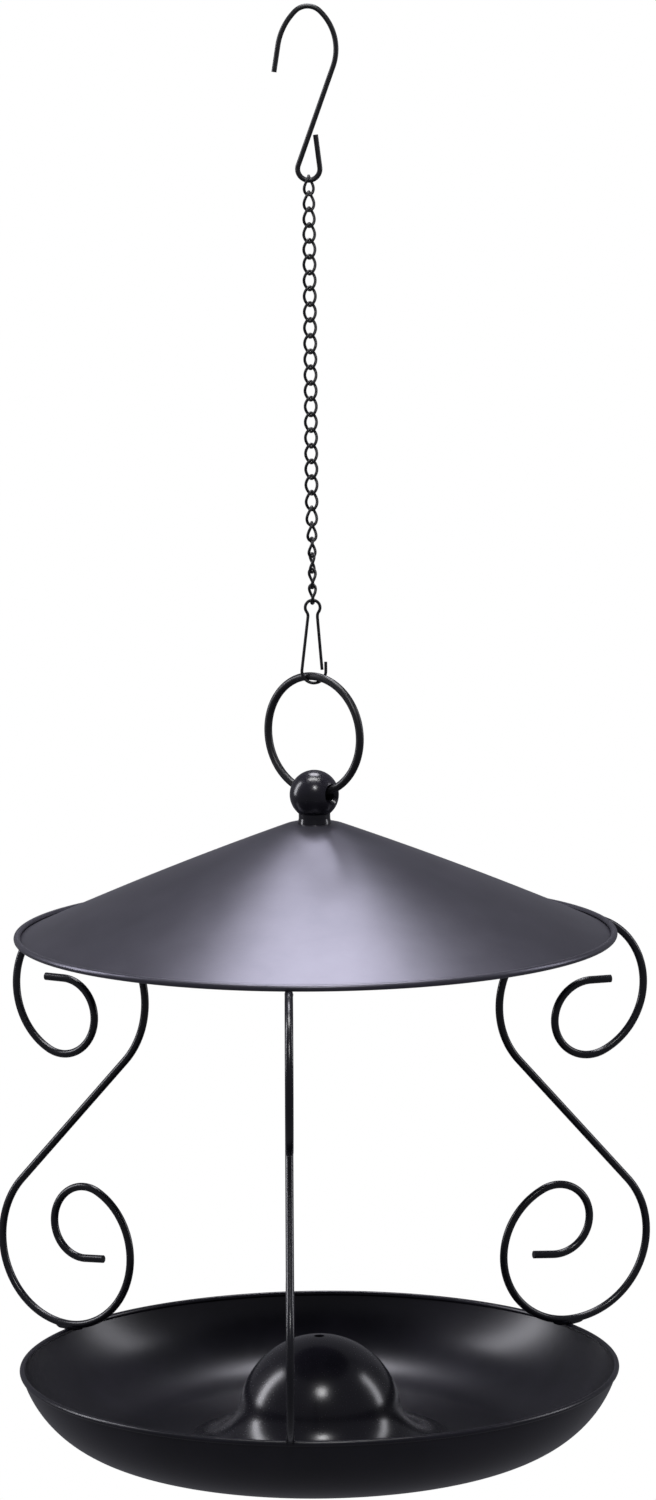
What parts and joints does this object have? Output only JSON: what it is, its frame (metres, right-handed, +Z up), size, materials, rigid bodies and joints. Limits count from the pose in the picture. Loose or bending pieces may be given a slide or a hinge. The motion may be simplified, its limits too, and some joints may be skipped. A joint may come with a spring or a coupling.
{
  "type": "hanging bird feeder",
  "caption": "Hanging bird feeder: bent wire hook, fine curb chain and snap clip, ring through a ball finial, conical roof, scroll wire brackets and a round tray with a dome.",
  "frame": {"origin": "the inside of the hook's bend, where it rests on what the feeder hangs from", "axes": "+Z up along the line of the chain, -Y to the front, +X to the right"},
  "size_m": [0.2806, 0.2854, 0.5957],
  "materials": {
    "black_wire": "satin black lacquer on steel wire",
    "scroll_enamel": "semi-gloss black powder coat",
    "gloss_enamel": "glossy black powder coat",
    "roof_enamel": "satin charcoal powder coat with a violet cast",
    "tray_enamel": "satin black powder coat",
    "zinc_hardware": "zinc plated"
  },
  "bodies": {
    "hook": {"top_hook": "black_wire"},
    "link_01": {"chain_link_01": "black_wire"},
    "link_02": {"chain_link_02": "black_wire"},
    "link_03": {"chain_link_03": "black_wire"},
    "link_04": {"chain_link_04": "black_wire"},
    "link_05": {"chain_link_05": "black_wire"},
    "link_06": {"chain_link_06": "black_wire"},
    "link_07": {"chain_link_07": "black_wire"},
    "link_08": {"chain_link_08": "black_wire"},
    "link_09": {"chain_link_09": "black_wire"},
    "link_10": {"chain_link_10": "black_wire"},
    "link_11": {"chain_link_11": "black_wire"},
    "link_12": {"chain_link_12": "black_wire"},
    "link_13": {"chain_link_13": "black_wire"},
    "link_14": {"chain_link_14": "black_wire"},
    "link_15": {"chain_link_15": "black_wire"},
    "link_16": {"chain_link_16": "black_wire"},
    "link_17": {"chain_link_17": "black_wire"},
    "link_18": {"chain_link_18": "black_wire"},
    "link_19": {"chain_link_19": "black_wire"},
    "link_20": {"chain_link_20": "black_wire"},
    "link_21": {"chain_link_21": "black_wire"},
    "link_22": {"chain_link_22": "black_wire"},
    "link_23": {"chain_link_23": "black_wire"},
    "link_24": {"chain_link_24": "black_wire"},
    "link_25": {"chain_link_25": "black_wire"},
    "link_26": {"chain_link_26": "black_wire"},
    "link_27": {"chain_link_27": "black_wire"},
    "clip": {"clip_body": "black_wire"},
    "clip_gate": {"clip_gate": "black_wire"},
    "ring": {"hanging_ring": "black_wire"},
    "feeder": {"finial_ball": "gloss_enamel", "finial_collar": "gloss_enamel", "finial_stud": "zinc_hardware", "stud_washer": "zinc_hardware", "stud_nut": "zinc_hardware", "roof": "roof_enamel", "scroll_front": "scroll_enamel", "scroll_right": "scroll_enamel", "scroll_left": "scroll_enamel", "tray": "tray_enamel", "seed_dome": "gloss_enamel"}
  },
  "joints": [
    {"name": "clip_swing", "type": "hinge", "parent": "link_27", "child": "clip", "pos_m": [0, 0, -0.24115], "axis": [0.454, 0.891, 0], "range_deg": [-25, 25]},
    {"name": "clip_gate_flex", "type": "hinge", "parent": "clip", "child": "clip_gate", "pos_m": [0.00194, 0, -0.24697], "axis": [0, 1, 0], "range_deg": [0, 8], "stiffness_Nm_per_rad": 0.05},
    {"name": "hanging_ring_swing", "type": "hinge", "parent": "clip", "child": "ring", "pos_m": [0, 0, -0.2712], "axis": [0.7826, -0.6225, 0], "range_deg": [-40, 40]},
    {"name": "feeder_swing", "type": "hinge", "parent": "ring", "child": "feeder", "pos_m": [0, 0, -0.3193], "axis": [-0.7826, 0.6225, 0], "range_deg": [-100, 100]},
    {"name": "link_01_swing", "type": "hinge", "parent": "hook", "child": "link_01", "pos_m": [0, 0, -0.0688], "axis": [1, 0, 0], "range_deg": [-18, 18]},
    {"name": "link_02_swing", "type": "hinge", "parent": "link_01", "child": "link_02", "pos_m": [0, 0, -0.07343], "axis": [0.1564, 0.9877, 0], "range_deg": [-18, 18]},
    {"name": "link_03_swing", "type": "hinge", "parent": "link_02", "child": "link_03", "pos_m": [0, 0, -0.08115], "axis": [-0.9877, 0.1564, 0], "range_deg": [-18, 18]},
    {"name": "link_04_swing", "type": "hinge", "parent": "link_03", "child": "link_04", "pos_m": [0, 0, -0.08623], "axis": [-0.454, -0.891, 0], "range_deg": [-18, 18]},
    {"name": "link_05_swing", "type": "hinge", "parent": "link_04", "child": "link_05", "pos_m": [0, 0, -0.09395], "axis": [0.891, -0.454, 0], "range_deg": [-18, 18]},
    {"name": "link_06_swing", "type": "hinge", "parent": "link_05", "child": "link_06", "pos_m": [0, 0, -0.09903], "axis": [0.7071, 0.7071, 0], "range_deg": [-18, 18]},
    {"name": "link_07_swing", "type": "hinge", "parent": "link_06", "child": "link_07", "pos_m": [0, 0, -0.10675], "axis": [-0.7071, 0.7071, 0], "range_deg": [-18, 18]},
    {"name": "link_08_swing", "type": "hinge", "parent": "link_07", "child": "link_08", "pos_m": [0, 0, -0.11183], "axis": [-0.7071, -0.7071, 0], "range_deg": [-18, 18]},
    {"name": "link_09_swing", "type": "hinge", "parent": "link_08", "child": "link_09", "pos_m": [0, 0, -0.11955], "axis": [0.7071, -0.7071, 0], "range_deg": [-18, 18]},
    {"name": "link_10_swing", "type": "hinge", "parent": "link_09", "child": "link_10", "pos_m": [0, 0, -0.12463], "axis": [0.7071, 0.7071, 0], "range_deg": [-18, 18]},
    {"name": "link_11_swing", "type": "hinge", "parent": "link_10", "child": "link_11", "pos_m": [0, 0, -0.13235], "axis": [-0.7071, 0.7071, 0], "range_deg": [-18, 18]},
    {"name": "link_12_swing", "type": "hinge", "parent": "link_11", "child": "link_12", "pos_m": [0, 0, -0.13743], "axis": [-0.7071, -0.7071, 0], "range_deg": [-18, 18]},
    {"name": "link_13_swing", "type": "hinge", "parent": "link_12", "child": "link_13", "pos_m": [0, 0, -0.14515], "axis": [0.7071, -0.7071, 0], "range_deg": [-18, 18]},
    {"name": "link_14_swing", "type": "hinge", "parent": "link_13", "child": "link_14", "pos_m": [0, 0, -0.15023], "axis": [0.7071, 0.7071, 0], "range_deg": [-18, 18]},
    {"name": "link_15_swing", "type": "hinge", "parent": "link_14", "child": "link_15", "pos_m": [0, 0, -0.15795], "axis": [-0.7071, 0.7071, 0], "range_deg": [-18, 18]},
    {"name": "link_16_swing", "type": "hinge", "parent": "link_15", "child": "link_16", "pos_m": [0, 0, -0.16303], "axis": [-0.7071, -0.7071, 0], "range_deg": [-18, 18]},
    {"name": "link_17_swing", "type": "hinge", "parent": "link_16", "child": "link_17", "pos_m": [0, 0, -0.17075], "axis": [0.7071, -0.7071, 0], "range_deg": [-18, 18]},
    {"name": "link_18_swing", "type": "hinge", "parent": "link_17", "child": "link_18", "pos_m": [0, 0, -0.17583], "axis": [0.7071, 0.7071, 0], "range_deg": [-18, 18]},
    {"name": "link_19_swing", "type": "hinge", "parent": "link_18", "child": "link_19", "pos_m": [0, 0, -0.18355], "axis": [-0.7071, 0.7071, 0], "range_deg": [-18, 18]},
    {"name": "link_20_swing", "type": "hinge", "parent": "link_19", "child": "link_20", "pos_m": [0, 0, -0.18863], "axis": [-0.7071, -0.7071, 0], "range_deg": [-18, 18]},
    {"name": "link_21_swing", "type": "hinge", "parent": "link_20", "child": "link_21", "pos_m": [0, 0, -0.19635], "axis": [0.7071, -0.7071, 0], "range_deg": [-18, 18]},
    {"name": "link_22_swing", "type": "hinge", "parent": "link_21", "child": "link_22", "pos_m": [0, 0, -0.20143], "axis": [0.1564, 0.9877, 0], "range_deg": [-18, 18]},
    {"name": "link_23_swing", "type": "hinge", "parent": "link_22", "child": "link_23", "pos_m": [0, 0, -0.20915], "axis": [-0.9877, 0.1564, 0], "range_deg": [-18, 18]},
    {"name": "link_24_swing", "type": "hinge", "parent": "link_23", "child": "link_24", "pos_m": [0, 0, -0.21423], "axis": [0.454, -0.891, 0], "range_deg": [-18, 18]},
    {"name": "link_25_swing", "type": "hinge", "parent": "link_24", "child": "link_25", "pos_m": [0, 0, -0.22195], "axis": [0.891, 0.454, 0], "range_deg": [-18, 18]},
    {"name": "link_26_swing", "type": "hinge", "parent": "link_25", "child": "link_26", "pos_m": [0, 0, -0.22703], "axis": [-0.891, 0.454, 0], "range_deg": [-18, 18]},
    {"name": "link_27_swing", "type": "hinge", "parent": "link_26", "child": "link_27", "pos_m": [0, 0, -0.23475], "axis": [-0.454, -0.891, 0], "range_deg": [-18, 18]}
  ]
}
